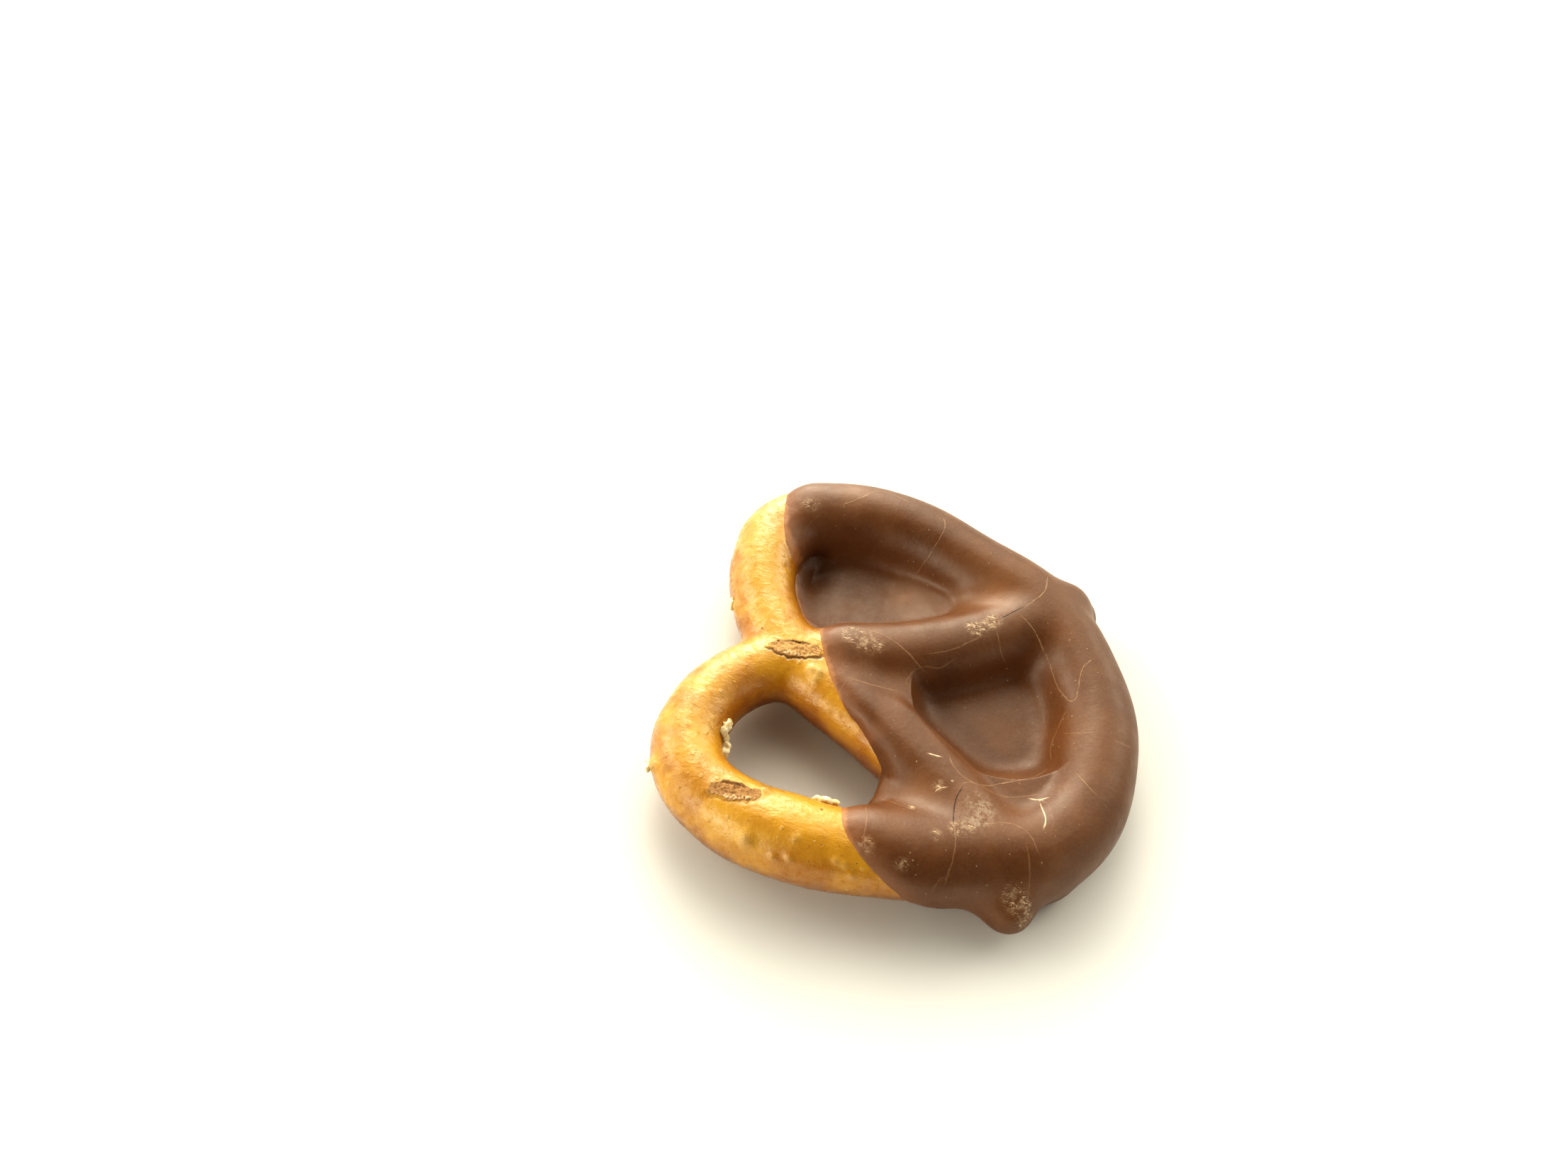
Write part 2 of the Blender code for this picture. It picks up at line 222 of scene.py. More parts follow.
# Blisters, and dents where the height is negative: across, down, radius and height.
BLISTERS = [
    (1050, 1183, 0.60, 0.28), (1145, 944, 0.42, 0.22), (1156, 947, 0.40, 0.20),
    (1150, 957, 0.38, 0.18), (921, 1080, 0.60, 0.40), (1038, 855, 0.50, 0.32),
    (1041, 775, 0.60, 0.18), (1089, 1209, 0.32, 0.14), (1112, 1211, 0.30, 0.14),
    (1179, 1214, 0.30, 0.11), (1190, 1219, 0.26, 0.10), (1201, 1236, 0.28, 0.11),
    (1123, 1181, 0.30, 0.12), (1078, 1115, 0.45, 0.22), (985, 1170, 0.40, -0.12),
    (942, 1090, 0.35, -0.10), (1110, 800, 0.35, -0.08), (1060, 1005, 0.35, -0.08),
]
PALE_PER_MM, PALE_MOST = 3, 0.6     # how pale a blister is for its height, and at most
RELIEF = ((7.0, 0.10, 1), (1.7, 0.035, 1), (0.6, 0.018, 1))     # the dough's waves
RELIEF_FADE = (0.1, 0.8)        # above the flat, they set in between these

# Salt crystals: x, y, height and size in millimetres.
SALT = [(-10.2, 13.5, 5.0, 1.3), (-11.4, 12.6, 4.5, 1.5), (-13.7, 3.5, 5.4, 1.6),
        (2.4, 17.0, 4.4, 0.9), (-15.2, 17.4, 4.5, 0.9)]
SALT_LUMPS = [(-0.44, 0.34), (-0.05, 0.42), (0.36, 0.38)]      # place along and radius
SALT_CHIPS, CHIP_LEVELS = 9, (0.62, 0.85)   # flats on a lump, and how far out they lie
SALT_RELIEF = ((0.45, 0.04, 11), (0.15, 0.02, 12))

# ---- colours, as linear light ----
FLOOR_WHITE = (0.92, 0.92, 0.91)
FLOOR_ROUGHNESS = 0.6
COAT_DARK = (0.14, 0.053, 0.017)
COAT_LIGHT = (0.178, 0.071, 0.024)
COAT_GREY = (0.23, 0.13, 0.07)
COAT_ROSY = (0.265, 0.115, 0.05)      # thin chocolate near the edge
COAT_THIN = (0.43, 0.195, 0.07)      # so thin that the dough shines through
COAT_BLOOM = (0.42, 0.32, 0.24)
# painted sheen: the lighter colour of the wide soft areas
COAT_PAINTED_SHEEN = (0.31, 0.152, 0.072)
COAT_HAIR = (0.42, 0.26, 0.145)
COAT_FLECK = (0.74, 0.56, 0.38)
COAT_CRACK = (0.03, 0.01, 0.005)
DOUGH_SUNNY = (0.74, 0.44, 0.055)
DOUGH_GOLD = (0.64, 0.325, 0.018)
DOUGH_AMBER = (0.47, 0.192, 0.007)
DOUGH_BROWN = (0.24, 0.073, 0.003)
DOUGH_BEIGE = (0.52, 0.29, 0.06)
DOUGH_PALE = (0.7, 0.46, 0.16)
SALT_CLEAR = (0.76, 0.6, 0.32)
SALT_WHITE = (0.95, 0.86, 0.64)
DOUGH_FRECKLE = (0.23, 0.075, 0.012)
SCAR_DARK = (0.11, 0.035, 0.008)
SCAR_BROWN = (0.3, 0.15, 0.055)
SCAR_TAN = (0.68, 0.41, 0.17)
SCAR_PALE = (0.85, 0.62, 0.39)

# ---- mesh resolution ----
DOUGH_VOXEL = 0.21
COAT_VOXEL = 0.21
SALT_VOXEL = 0.05
SMOOTH_LENGTH = 0.85    # the smoothing reaches about as far at any voxel size
SHRINK_STEP = 0.40
HIDDEN_SHARE = 0.12     # triangles kept where the coat hides the dough
CAP_WELD = 0.01         # vertices this near are one: on a tube's cap
CUT_WELD = 0.0001       # ... and along a cut
BALL_STEPS = (40, 24)
TUBE_ROUND = 18         # steps round a tube
TUBE_STEPS = 24         # steps from one station to the next, of a tube
SLAB_STEPS = 12         # ... of a slab's outline
SAMPLE_STEPS = 16       # ... of a line in plan
MARK_STEPS = 6          # ... of a mark
SEED = 7

# ---- the set: light and floor ----
FLOOR_HALF = 1500.0
# A tent of soft light: each glow's degrees from the way that the camera looks, seen in plan,
# degrees above the table, and brightness.
GLOWS = [(0, 18, 6.2), (0, 46, 3.4), (60, 25, 4.4), (120, 20, 4.2), (-60, 25, 3.2),
         (-60, 55, 0.9), (-120, 20, 1.3)]
GLOW_TIGHT = 18.0       # how fast a glow falls off round its middle
TENT_COLOUR = (1.0, 0.955, 0.81)
TENT_STRENGTH = 1.04
LOOKING_WAY = math.radians(23.5)        # the camera's plan direction

# ---- camera, matched to the photo ----
CAMERA_AT = Vector((-59.00, 1.29, 86.66))
CAMERA_LOOKS_AT = Vector((9.32, 14.39, 0.0))
CAMERA_ROLL = math.radians(9.81)
CAMERA_LENS = 27.01
SENSOR = 36.0
CAMERA_CLIP = 5.0


# ---- objects and meshes ----

def configure(thing, settings):
    for key, value in settings.items():
        setattr(thing, key, value)
    return thing


def new_object(name, data):
    thing = bpy.data.objects.new(name, data)
    bpy.context.scene.collection.objects.link(thing)
    return thing


def remove(*things):
    for thing in things:
        bpy.data.objects.remove(thing, do_unlink=True)


def evaluated_mesh(thing):
    graph = bpy.context.evaluated_depsgraph_get()
    graph.update()
    return bpy.data.meshes.new_from_object(thing.evaluated_get(graph))


def surface_of(thing):
    return BVHTree.FromObject(thing, bpy.context.evaluated_depsgraph_get())


def modify(thing, kind, **settings):
    configure(thing.modifiers.new(kind.title(), kind), settings)


def apply_modifiers(thing):
    mesh = evaluated_mesh(thing)
    thing.modifiers.clear()
    thing.data = mesh
    return thing


def object_from(edit, name):
    """A new object with a mesh that was built up in edit."""
    mesh = bpy.data.meshes.new(name)
    edit.to_mesh(mesh)
    edit.free()
    return new_object(name, mesh)


@contextmanager
def edited(thing):
    """The object's mesh, open for changes that are written back at the end."""
    edit = bmesh.new()
    edit.from_mesh(thing.data)
    yield edit
    edit.to_mesh(thing.data)
    edit.free()


def curve_through(name, places, radii=None, closed=False, **settings):
    """A curve object along a smooth line through the places."""
    data = configure(bpy.data.curves.new(name, "CURVE"), settings)
    spline = data.splines.new("BEZIER")
    spline.bezier_points.add(len(places) - 1)
    for point, place, radius in zip(spline.bezier_points, places, radii or [1.0] * len(places)):
        point.co = Vector(place) * MM
        point.radius = radius
        point.handle_left_type = point.handle_right_type = "AUTO"
    spline.use_cyclic_u = closed
    return new_object(name, data)


def curve_to_mesh(curve):
    """A closed mesh object in place of a curve, with its caps welded on."""
    mesh = evaluated_mesh(curve)
    mesh.transform(curve.matrix_world)
    thing = new_object(curve.name + "_mesh", mesh)
    remove(curve)
    with edited(thing) as edit:
        bmesh.ops.remove_doubles(edit, verts=edit.verts, dist=CAP_WELD * MM)
        bmesh.ops.recalc_face_normals(edit, faces=edit.faces)
    return thing


def ball(name, place, radius):
    edit = bmesh.new()
    bmesh.ops.create_uvsphere(edit, u_segments=BALL_STEPS[0], v_segments=BALL_STEPS[1],
                              radius=radius * MM,
                              matrix=Matrix.Translation(Vector(place) * MM))
    return object_from(edit, name)


def tube(name, places, radii):
    """A tube along a smooth line through the places, with a ball at each end."""
    curve = curve_through(name, places, radii, dimensions="3D", resolution_u=TUBE_STEPS,
                          bevel_depth=MM, bevel_resolution=TUBE_ROUND, use_fill_caps=True)
    return [curve_to_mesh(curve)] + [ball(name + "_end", places[i], radii[i]) for i in (0, -1)]


def rope_tube(name, extra):
    """The rope, lying on DOUGH_BASE and thicker all round by extra."""
    radii = [ROPE_RADIUS * thickness for _, _, thickness in ROPE]
    places = [(x, y, DOUGH_BASE + radius) for (x, y, _), radius in zip(ROPE, radii)]
    return tube(name, places, [radius + extra for radius in radii])


def slab(name, outline, bottom, top):
    """A flat slab between two heights, inside a smooth closed outline."""
    thing = curve_through(name, [(x, y, 0.0) for x, y, _ in outline], closed=True,
                          dimensions="2D", fill_mode="BOTH", resolution_u=SLAB_STEPS,
                          extrude=(top - bottom) / 2 * MM)
    thing.location.z = (top + bottom) / 2 * MM
    bpy.context.view_layer.update()
    return curve_to_mesh(thing)


def fuse(name, shapes, fillet, voxel):
    """Melts overlapping shapes, each made larger by fillet, into one smooth skin of the true
    size.  Its inner corners come out rounded to about that radius."""
    edit = bmesh.new()
    for shape in shapes:
        edit.from_mesh(shape.data)
    remove(*shapes)
    thing = object_from(edit, name)
    steps = max(1, round(fillet / SHRINK_STEP))
    smoothing = round((SMOOTH_LENGTH / voxel) ** 2)
    for step in range(steps + 1):
        modify(thing, "REMESH", mode="VOXEL", voxel_size=voxel * MM)
        modify(thing, "SMOOTH", iterations=smoothing)
        if step < steps:
            modify(thing, "DISPLACE", mid_level=0.0, strength=-fillet / steps * MM)
    return apply_modifiers(thing)


def refine(thing, places, radius, cuts):
    """Splits the faces near the places into smaller ones."""
    near = KDTree(len(places))
    for i, place in enumerate(places):
        near.insert(Vector(place) * MM, i)
    near.balance()
    with edited(thing) as edit:
        faces = [f for f in edit.faces if near.find(f.calc_center_median())[2] < radius * MM]
        edges = list({edge for face in faces for edge in face.edges})
        bmesh.ops.subdivide_edges(edit, edges=edges, cuts=cuts, use_grid_fill=True)


def connected_parts(edit):
    """The vertices of each connected part of the mesh, the largest part last."""
    left = set(edit.verts)
    parts = []
    while left:
        part, front = [], [left.pop()]
        while front:
            vert = front.pop()
            part.append(vert)
            beside = {edge.other_vert(vert) for edge in vert.link_edges} & left
            left -= beside
            front += beside
        parts.append(part)
    return sorted(parts, key=len)


def cut_away(thing, cutter):
    """Cuts a shape out of the object.  The flaps of no thickness that this leaves, which are
    two faces in one place, and its loose shreds are taken out too."""
    modify(thing, "BOOLEAN", operation="DIFFERENCE", object=cutter, solver="MANIFOLD")
    apply_modifiers(thing)
    remove(cutter)
    with edited(thing) as edit:
        bmesh.ops.triangulate(edit, faces=edit.faces)
        twins = {}
        for face in edit.faces:
            corners = frozenset(vert.co.to_tuple(8) for vert in face.verts)
            twins.setdefault(corners, []).append(face)
        flaps = [face for faces in twins.values() if len(faces) > 1 for face in faces]
        bmesh.ops.delete(edit, geom=flaps, context="FACES")
        bmesh.ops.remove_doubles(edit, verts=edit.verts, dist=CUT_WELD * MM)
        shreds = [vert for part in connected_parts(edit)[:-1] for vert in part]
        bmesh.ops.delete(edit, geom=shreds, context="VERTS")


# ---- arrays ----

def vertex_array(mesh, what):
    flat = np.empty(len(mesh.vertices) * 3)
    mesh.vertices.foreach_get(what, flat)
    return flat.reshape(-1, 3)


def points_of(thing):
    """The vertices, in millimetres."""
    return vertex_array(thing.data, "co") / MM


def normals_of(thing):
    return vertex_array(thing.data, "normal")


def move_points(thing, points):
    thing.data.vertices.foreach_set("co", (points * MM).ravel())
    thing.data.update()


def smoothstep(low, high, value):
    share = np.clip((value - low) / (high - low), 0.0, 1.0)
    return share * share * (3 - 2 * share)


def smooth_max(value, floor, radius):
    """Value, but not below floor, with the corner rounded."""
    gap = np.clip(1 - np.abs(value - floor) / radius, 0.0, 1.0)
    return np.maximum(value, floor) + gap * gap * radius / 4


def noise_at(points, size, seed):
    """Smooth noise from about -1 to 1, whose bumps are about size millimetres apart."""
    offset = Vector((seed * 17.3, seed * 5.1, seed * 11.9))
    return np.array([noise.noise(Vector(p) / size + offset) for p in points])


def waves_at(points, waves):
    """The sum of several noises, each given as its size, its amount and its seed."""
    return sum(amount * noise_at(points, size, seed) for size, amount, seed in waves)


def curve_samples(stations, closed=False, steps=SAMPLE_STEPS):
    """Points in plan on a smooth line through the stations, whose third number may be left
    out."""
    thing = curve_through("samples", [(*station, 0.0)[:3] for station in stations],
                          closed=closed, dimensions="3D", resolution_u=steps)
    mesh = evaluated_mesh(thing)
    remove(thing)
    return vertex_array(mesh, "co")[:, :2] / MM


def plan_distance(points, x, y):
    return np.hypot(points[:, 0] - x, points[:, 1] - y)


def side_of_line(points, line):
    """Signed distance in plan from a line, positive on its left."""
    start, step = line[:-1], np.diff(line, axis=0)
    length = np.maximum((step ** 2).sum(1), 1e-12)
    best = np.full(len(points), 1e9)
    signed = np.zeros(len(points))
    for (ax, ay), (dx, dy), l2 in zip(start, step, length):
        px, py = points[:, 0] - ax, points[:, 1] - ay
        t = np.clip((px * dx + py * dy) / l2, 0.0, 1.0)
        gap = np.hypot(px - t * dx, py - t * dy)
        closer = gap < best
        best[closer] = gap[closer]
        signed[closer] = np.sign(dx * py - dy * px)[closer] * gap[closer]
    return signed


def inside_outline(points, outline):
    """Whether each point lies inside the outline, in plan."""
    x, y = points[:, 0], points[:, 1]
    inside = np.zeros(len(points), bool)
    for (ax, ay), (bx, by) in zip(outline, np.roll(outline, -1, axis=0)):
        crosses = (ay > y) != (by > y)
        with np.errstate(divide="ignore", invalid="ignore"):
            at = (bx - ax) * (y - ay) / (by - ay) + ax
        inside ^= crosses & (x < at)
    return inside


def paint(thing, **fields):
    """Writes fields of one number for each vertex, for a material to read."""
    for name, values in fields.items():
        attribute = thing.data.attributes.new(name, "FLOAT", "POINT")
        attribute.data.foreach_set("value", np.asarray(values, dtype=float))


# ---- marks placed in the photo's frame ----

def camera_turn():
    look = (CAMERA_LOOKS_AT - CAMERA_AT).to_track_quat("-Z", "Y").to_matrix()
    return look @ Matrix.Rotation(CAMERA_ROLL, 3, "Z")


def under_pixel(tree, across, down):
    """The surface point that a pixel of the photo's frame shows, and its normal."""
    focal = CAMERA_LENS / SENSOR * FRAME_SIZE[0]
    ray = Vector(((across - FRAME_SIZE[0] / 2) / focal, (FRAME_SIZE[1] / 2 - down) / focal, -1))
    spot, normal, _, _ = tree.ray_cast((CAMERA_AT - TO_ORIGIN) * MM, camera_turn() @ ray)
    return (None, None) if spot is None else (np.array(spot) / MM, np.array(normal))


def marks_on(tree, marks):
    """The marks as (spot, ...) in place of (across, down, ...), where the surface is hit."""
    placed = [(under_pixel(tree, across, down)[0], *rest) for across, down, *rest in marks]
    return [mark for mark in placed if mark[0] is not None]


def path_on(tree, pixels):
    """A smooth line on the surface below the pixels, as points and normals."""
    found = []
    for across, down in curve_samples(pixels, steps=MARK_STEPS):
        spot, normal = under_pixel(tree, across, down)
        if spot is not None and (not found or np.linalg.norm(spot - found[-1][0]) < PATH_BREAK):
            found.append((spot, normal))
    return np.array([f[0] for f in found]), np.array([f[1] for f in found])


def paint_lines(thing, tree, name, lines):
    """For every vertex near one of the lines, its signed distance from the line and how
    strongly the line shows."""
    points = points_of(thing)
    off = np.full(len(points), LINE_REACH)
    best = np.full(len(points), LINE_REACH)
    on = np.zeros(len(points))
    for strength, pixels in lines:
        places, normals = path_on(tree, pixels)
        steps = np.diff(places, axis=0)
        lengths = np.linalg.norm(steps, axis=1)
        starts = np.concatenate([[0.0], np.cumsum(lengths)])
        fade = min(LINE_FADE, SHORT_FADE * starts[-1])
        for place, normal, step, length, start in zip(places, normals, steps, lengths, starts):
            if length < 1e-6:
                continue
            near = np.flatnonzero(np.abs(points - place).max(1) < LINE_REACH + length)
            along = np.clip((points[near] - place) @ step / length ** 2, 0, 1)
            gap = points[near] - place - along[:, None] * step
            distance = np.linalg.norm(gap, axis=1)
            closer = distance < best[near]
            near, gap, distance, along = (a[closer] for a in (near, gap, distance, along))
            best[near] = distance
            off[near] = gap @ np.cross(step / length, normal)
            reached = start + along * length
            ends = smoothstep(0, fade, reached) * smoothstep(0, fade, starts[-1] - reached)
            on[near] = strength * ends * (1 - smoothstep(0.6, 1.0, distance / LINE_REACH))
    paint(thing, **{name + "_off": off, name + "_on": on})


def paint_spots(thing, tree, name, spots):
    """How strongly round spots at the pixels cover each vertex."""
    points = points_of(thing)
    total = np.zeros(len(points))
    for spot, radius, strength in marks_on(tree, spots):
        distance = np.linalg.norm(points - spot, axis=1)
        total += strength * np.exp(-(distance / radius) ** 2)
    paint(thing, **{name: np.clip(total, 0, 1)})


# ---- the dough ----

def dough_skin():
    """The baked rope with its flat underside, before its fine relief."""
    skin = fuse("pretzel_dough", rope_tube("rope", DOUGH_FILLET), DOUGH_FILLET, DOUGH_VOXEL)
    points = points_of(skin)
    points[:, 2] = smooth_max(points[:, 2], DOUGH_FLAT, FLAT_ROUND)
    move_points(skin, points)
    return skin


def scar_frames(tree):
    """Each scar's middle, the half vector along it, the unit vector across it towards the
    photo's upper edge, its half width, depth and overhang."""
    upwards = np.array(camera_turn() @ Vector((0, 1, 0)))
    frames = []
    for start, end, width, depth, overhang in SCARS:
        (first, _), (last, _) = under_pixel(tree, *start), under_pixel(tree, *end)
        middle, normal = under_pixel(tree, *[(a + b) / 2 for a, b in zip(start, end)])
        half = (last - first) / 2
        across = np.cross(normal, half)
        across *= np.sign(across @ upwards) / np.linalg.norm(across)
        frames.append((middle, half, across, width, depth, overhang))
    return frames


def scar_shares(points, frames):
    """For the nearest scar: how far inwards and where across it each point lies, and the
    scar's depth and overhang."""
    inside = np.full(len(points), -FAR_OFF)
    across, depths, hangs = (np.zeros(len(points)) for _ in range(3))
    ragged = waves_at(points, SCAR_RAGGED)
    for middle, half, side, width, depth, overhang in frames:
        reach = np.linalg.norm(half)
        u = (points - middle) @ half / reach ** 2
        v = (points - middle) @ side / width
        away = np.abs((points - middle) @ np.cross(half / reach, side))
        share = 1 - np.sqrt(u ** 2 + v ** 2) + ragged - FAR_OFF * smoothstep(*SCAR_BACK, away)
        nearer = share > inside
        inside[nearer], across[nearer] = share[nearer], v[nearer]
        depths[nearer], hangs[nearer] = depth, overhang
    return inside, across, depths, hangs


def weather_dough(pretzel):
    """Waves, blisters and scars of the baked skin."""
    tree = surface_of(pretzel)
    scars = scar_frames(tree)
    blisters = marks_on(tree, BLISTERS)
    near_scars = [middle + half * t for middle, half, *_ in scars for t in np.linspace(-1, 1, 12)]
    refine(pretzel, near_scars, SCAR_FINE, SCAR_CUTS)
    points, normals = points_of(pretzel), normals_of(pretzel)

    lift = waves_at(points, RELIEF) * smoothstep(*RELIEF_FADE, points[:, 2] - DOUGH_FLAT)
    pale = np.zeros(len(points))
    for spot, radius, height in blisters:
        dome = np.exp(-(np.linalg.norm(points - spot, axis=1) / radius) ** 2)
        lift += height * dome
        pale += np.clip(height * PALE_PER_MM, 0, PALE_MOST) * dome

    inside, across, depths, hangs = scar_shares(points, scars)
    cut = smoothstep(*SCAR_CUT, inside)
    upper_edge = cut * smoothstep(*SCAR_UPPER, across)
    crumbs = (cut * smoothstep(*SCAR_LOWER, across)
              * smoothstep(*CRUMB_LEVELS, noise_at(points, *CRUMB_NOISE)))
    shade = (smoothstep(*SHADE_START, inside) * (1 - smoothstep(*SHADE_END, inside))
             * smoothstep(*SHADE_SIDE, across) * hangs)
    lift += (cut * (waves_at(points, SCAR_CRUST) - SCAR_SUNK * depths)
             - UPPER_SUNK * depths * upper_edge + CRUMB_HEIGHT * crumbs - SHADE_DEPTH * shade)
    move_points(pretzel, points + normals * lift[:, None])
    paint(pretzel, scar=smoothstep(*SCAR_SKIN, inside), scar_top=upper_edge, scar_crumbs=crumbs,
          scar_shade=np.clip(shade, 0, 1), scar_old=1 - hangs, pale=np.clip(pale, 0, 1))


def salt_lump(edit, place, radii, turn, draw):
    """A chipped lump, flattened along its own third axis."""
    planes = [(Vector(draw.normal(size=3)).normalized(), draw.uniform(*CHIP_LEVELS))
              for _ in range(SALT_CHIPS)]
    made = bmesh.ops.create_icosphere(edit, subdivisions=4, radius=1.0)["verts"]
    for vertex in made:
        way = vertex.co.normalized()
        reach = min([level / max(way.dot(face), 1e-3) for face, level in planes] + [1.0])
        vertex.co = (Vector(place) + turn @ (way * reach * Vector(radii))) * MM


def make_salt(dough):
    """Grains of salt, each of a few lumps side by side, half sunk in the dough."""
    tree = surface_of(dough)
    draw = np.random.default_rng(SEED)
    edit = bmesh.new()
    for x, y, z, size in SALT:
        near, normal, _, _ = tree.find_nearest(Vector((x, y, z)) * MM)
        along = normal.cross(Vector((0, 0, 1))).normalized()
        turn = Matrix((along, normal.cross(along), normal)).transposed()
        for step, share in SALT_LUMPS:
            shift = Vector((step, draw.uniform(-0.12, 0.12), draw.uniform(0.02, 0.14))) * size
            radii = Vector((1.0, draw.uniform(0.8, 1.0), draw.uniform(0.65, 0.85))) * share * size
            salt_lump(edit, near / MM + turn @ shift, radii, turn, draw)
    salt = object_from(edit, "coarse_salt")
    modify(salt, "REMESH", mode="VOXEL", voxel_size=SALT_VOXEL * MM)
    modify(salt, "SMOOTH", iterations=2)
    apply_modifiers(salt)
    points = points_of(salt)
    move_points(salt, points + normals_of(salt) * waves_at(points, SALT_RELIEF)[:, None])
    return salt


# ---- the chocolate ----

def dip_distance(points):
    """Distance into the chocolate's side of its edge, negative on the bare side."""
    upright = points[:, :2] - np.outer(points[:, 2] - DIP_HEIGHT, BARE_WAY * DIP_SLANT)
    return side_of_line(upright, curve_samples(DIP_LINE))


def edge_distance(points):
    """The same with the edge's small wander."""
    return dip_distance(points) + waves_at(points, EDGE_WAVES)


def web_share(points):
    """1 on the chocolate floor of the right hole, which reaches past the edge's line."""
    web = curve_samples(RIGHT_WEB, closed=True)
    inward = smoothstep(*WEB_RIM, np.abs(side_of_line(points, web)))
    high = smoothstep(*WEB_FADE, points[:, 2] - RIGHT_FLOOR)
    return inside_outline(points, web) * inward * (1 - high)


def wall_share(points):
    """1 in the corner where the coat ends as a wall between two strands."""
    x, y, inner, outer = WALL_CORNER
    return 1 - smoothstep(inner, outer, plan_distance(points, x, y))


def taper_to_edge(coating, dough):
    """Thins the coat out to nothing at its edge, and ends it as a wall between strands."""
    points = points_of(coating)
    covered = edge_distance(points)
    lean = np.stack([dip_distance(points + step) - dip_distance(points - step)
                     for step in np.eye(3)[:2] * LEAN_STEP], axis=1) / (2 * LEAN_STEP)
    share = 1 - (1 - np.clip(covered / EDGE_TAPER, 0, 1)) ** EDGE_CURVE
    on_web = web_share(points)
    share = np.maximum(share, on_web)

    walled = points.copy()
    pushed = smooth_max(covered, WALL_AT, WALL_ROUND) - covered
    walled[:, :2] += lean * pushed[:, None]
    wall_zone = wall_share(points) * (1 - on_web)

    tree = surface_of(dough)
    near_wall = np.zeros(len(points))
    for i in np.flatnonzero((share < 1) | (pushed > 0)):
        near, normal, _, gap = tree.find_nearest(Vector(points[i]) * MM)
        wall = float(smoothstep(*WALL_GAP, gap / MM)) * wall_zone[i]
        sunk = np.array(near / MM - normal * EDGE_SUNK)
        thin = share[i] * points[i] + (1 - share[i]) * sunk
        points[i] = wall * walled[i] + (1 - wall) * thin
        near_wall[i] = smoothstep(0.05, 0.5, wall) * (covered[i] < WALL_ROUND)
    move_points(coating, points)

    group = coating.vertex_groups.new(name="wall")
    for i in np.flatnonzero(near_wall):
        group.add([int(i)], near_wall[i], "REPLACE")
    modify(coating, "SMOOTH", iterations=WALL_SMOOTHING, vertex_group="wall")
    apply_modifiers(coating)


def lift_floor(points, web, floor, raised):
    """Moves the top of a hole's floor to the raised heights, up to the rope's middle line."""
    outline = curve_samples(web, closed=True)
    inside = inside_outline(points, outline) & (points[:, 2] > floor - FLOOR_SKIN)
    share = inside * smoothstep(*FILL_RIM, np.abs(side_of_line(points, outline)))
    points[:, 2] += (raised - points[:, 2]) * share


def round_well(points):
    """Fills the corners of the middle hole, so that its well is a round bowl."""
    away = plan_distance(points, *BOWL) - BOWL_RADIUS
    bowl = MIDDLE_FLOOR + BOWL_RISE * np.clip(away, 0, None) ** 2
    raised = smooth_max(points[:, 2], np.minimum(bowl, BOWL_TOP), BOWL_BLEND)
    lift_floor(points, MIDDLE_WEB, MIDDLE_FLOOR, raised)


def tilt_floor(points):
    """Tilts the right hole's floor, and sinks a pocket at its end."""
    ahead = points[:, 0] * math.cos(LOOKING_WAY) + points[:, 1] * math.sin(LOOKING_WAY)
    lowest, highest = RIGHT_LEVELS
    tilted = lowest
    for along, (start, slope) in ((ahead, RIGHT_RISE), (points[:, 1], SIDE_RISE)):
        tilted = tilted + slope * np.clip(start - along, 0, None)
    capped = -smooth_max(-tilted, -highest, FLOOR_BLEND)
    raised = smooth_max(points[:, 2], capped, FLOOR_BLEND)
    x, y, radius, depth = POCKET
    low = 1 - smoothstep(*POCKET_FADE, points[:, 2] - RIGHT_FLOOR)
    raised -= depth * np.exp(-(plan_distance(points, x, y) / radius) ** 2) * low
    lift_floor(points, RIGHT_WEB, RIGHT_FLOOR, raised)


def mark_edge(coating, dough):
    """How far each vertex lies inside the thin edge, and far inside where the coat is thick
    right up to where it ends."""
    points = points_of(coating)
    tree = surface_of(dough)
    gap = np.array([tree.find_nearest(Vector(p) * MM)[3] for p in points]) / MM
    thick = np.maximum(web_share(points), smoothstep(*THICK_GAP, gap))
    thick = np.maximum(thick, wall_share(points))
    paint(coating, edge=edge_distance(points) + FAR_INSIDE * thick)


def mark_coating(coating):
    tree = surface_of(coating)
    for name, lines in LINES.items():
        paint_lines(coating, tree, name, lines)
    for name, spots in SPOTS.items():
        paint_spots(coating, tree, name, spots)


def make_coating(dough):
    shapes = rope_tube("clad_rope", COAT + COAT_FILLET)
    shapes += tube("skirt", [(x, y, SKIRT_HEIGHT) for x, y, _ in SKIRT],
                   [SKIRT_RADIUS * thickness + COAT_FILLET for *_, thickness in SKIRT])
    for name, outline, floor in (("right_web", RIGHT_WEB, RIGHT_FLOOR),
                                 ("middle_web", MIDDLE_WEB, MIDDLE_FLOOR)):
        shapes.append(slab(name, outline, -2 * COAT_FILLET, floor + COAT_FILLET))
    for *place, radius in [POOL] + DRIPS:
        shapes.append(ball("pool", place, radius + COAT_FILLET))
    shapes += tube("rim", [place for *place, _ in RIM], [r + COAT_FILLET for *_, r in RIM])
    coating = fuse("chocolate_shell", shapes, COAT_FILLET, COAT_VOXEL)

    points = points_of(coating)
    points[:, 2] = smooth_max(points[:, 2], 0.0, FOOT_ROUND)
    round_well(points)
    tilt_floor(points)
    move_points(coating, points)
    taper_to_edge(coating, dough)

    cavity = new_object("cavity", dough.data.copy())
    move_points(cavity, points_of(cavity) - normals_of(cavity) * CAVITY_SUNK)
    modify(cavity, "DECIMATE", ratio=HIDDEN_SHARE)
    cut_away(coating, apply_modifiers(cavity))
    return coating


# ---- materials ----

